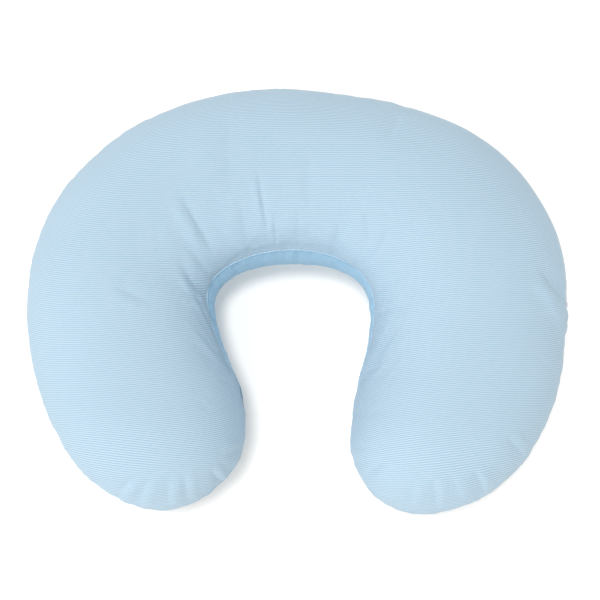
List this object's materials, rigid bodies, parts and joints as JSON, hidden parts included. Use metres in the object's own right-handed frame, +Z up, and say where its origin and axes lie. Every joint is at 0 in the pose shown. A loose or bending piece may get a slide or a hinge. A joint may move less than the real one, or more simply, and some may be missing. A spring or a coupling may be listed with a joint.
{
  "type": "nursing pillow",
  "caption": "Crescent-shaped stuffed nursing pillow that rests round the waist, with a zipped, finely striped cotton cover over a fibre-filled insert.",
  "frame": {"origin": "middle of the whole pillow in plan, at the floor it lies on", "axes": "+X across the pillow from one leg to the other, +Y from the open end towards the closed back of the crescent, +Z up through the thickness"},
  "size_m": [0.5703, 0.45, 0.156],
  "materials": {
    "striped_cotton": "matte",
    "white_cotton": "matte",
    "polyester_fibre": "matte",
    "satin_label": "satin",
    "zip_tape": "matte",
    "zip_coil": "satin",
    "zip_metal": "satin"
  },
  "bodies": {
    "pillow": {"cover_top_panel": "striped_cotton", "cover_bottom_panel": "striped_cotton", "cover_inner_gusset": "striped_cotton", "care_label": "satin_label", "insert_top_panel": "white_cotton", "insert_bottom_panel": "white_cotton", "insert_inner_gusset": "white_cotton", "insert_label": "satin_label", "fibre_filling": "polyester_fibre", "zip_tape_upper": "zip_tape", "zip_coil_upper": "zip_coil", "zip_top_stop_upper": "zip_metal", "zip_tape_lower": "zip_tape", "zip_coil_lower": "zip_coil", "zip_top_stop_lower": "zip_metal", "zip_bottom_stop": "zip_metal"},
    "slider": {"zip_slider": "zip_metal"},
    "pull": {"zip_pull_tab": "zip_metal"}
  },
  "joints": [
    {"name": "zip_travel", "type": "hinge", "parent": "pillow", "child": "slider", "pos_m": [0.0729, -0.002, 0.074], "axis": [0, 0, 1], "range_deg": [0, 75]},
    {"name": "pull_swing", "type": "hinge", "parent": "slider", "child": "pull", "pos_m": [0.28342, -0.00788, 0.074], "axis": [0, 0, -1], "range_deg": [0, 160]}
  ]
}
